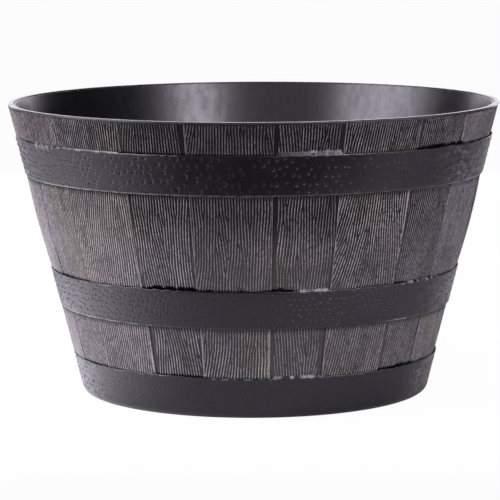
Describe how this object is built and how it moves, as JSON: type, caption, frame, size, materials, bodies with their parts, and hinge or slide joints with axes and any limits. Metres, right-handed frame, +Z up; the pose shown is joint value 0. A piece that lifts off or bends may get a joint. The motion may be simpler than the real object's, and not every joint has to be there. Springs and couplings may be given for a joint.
{
  "type": "barrel planter",
  "caption": "Round tapered barrel planter with a rounded rim ring, wood-grained upright staves and flat hoops around a smooth open pot with pull-out drain plugs.",
  "frame": {"origin": "centre of the planter's foot, on the ground", "axes": "+Z up along the planter's axis, -Y toward the front of the picture, +X to the viewer's right"},
  "size_m": [0.394, 0.394, 0.2335],
  "materials": {
    "pot": "smooth satin-gloss black moulding with faint flow marks",
    "rim": "smooth charcoal moulding, satin",
    "wide_stave": "raised wood grain, charcoal with light grey-brown dry-brushed ridge tops",
    "narrow_stave": "raised wood grain, charcoal with light grey-brown dry-brushed ridge tops",
    "hoop": "charcoal moulding with small hammered dents, satin",
    "plug": "plain black rubber"
  },
  "bodies": {
    "planter": {"inner_pot": "pot", "rim_ring": "rim", "wide_stave_01": "wide_stave", "wide_stave_02": "wide_stave", "wide_stave_03": "wide_stave", "wide_stave_04": "wide_stave", "wide_stave_05": "wide_stave", "wide_stave_06": "wide_stave", "wide_stave_07": "wide_stave", "wide_stave_08": "wide_stave", "wide_stave_09": "wide_stave", "wide_stave_10": "wide_stave", "narrow_stave_01": "narrow_stave", "narrow_stave_02": "narrow_stave", "narrow_stave_03": "narrow_stave", "narrow_stave_04": "narrow_stave", "narrow_stave_05": "narrow_stave", "narrow_stave_06": "narrow_stave", "narrow_stave_07": "narrow_stave", "narrow_stave_08": "narrow_stave", "narrow_stave_09": "narrow_stave", "narrow_stave_10": "narrow_stave", "bottom_hoop": "hoop", "middle_hoop": "hoop", "top_hoop": "hoop"},
    "drain_plug_1": {"drain_plug_1": "plug"},
    "drain_plug_2": {"drain_plug_2": "plug"},
    "drain_plug_3": {"drain_plug_3": "plug"},
    "drain_plug_4": {"drain_plug_4": "plug"}
  },
  "joints": [
    {"name": "drain_plug_1_pull", "type": "slide", "parent": "planter", "child": "drain_plug_1", "axis": [0, 0, 1], "range_m": [0, 0.25]},
    {"name": "drain_plug_2_pull", "type": "slide", "parent": "planter", "child": "drain_plug_2", "axis": [0, 0, 1], "range_m": [0, 0.25]},
    {"name": "drain_plug_3_pull", "type": "slide", "parent": "planter", "child": "drain_plug_3", "axis": [0, 0, 1], "range_m": [0, 0.25]},
    {"name": "drain_plug_4_pull", "type": "slide", "parent": "planter", "child": "drain_plug_4", "axis": [0, 0, 1], "range_m": [0, 0.25]}
  ]
}
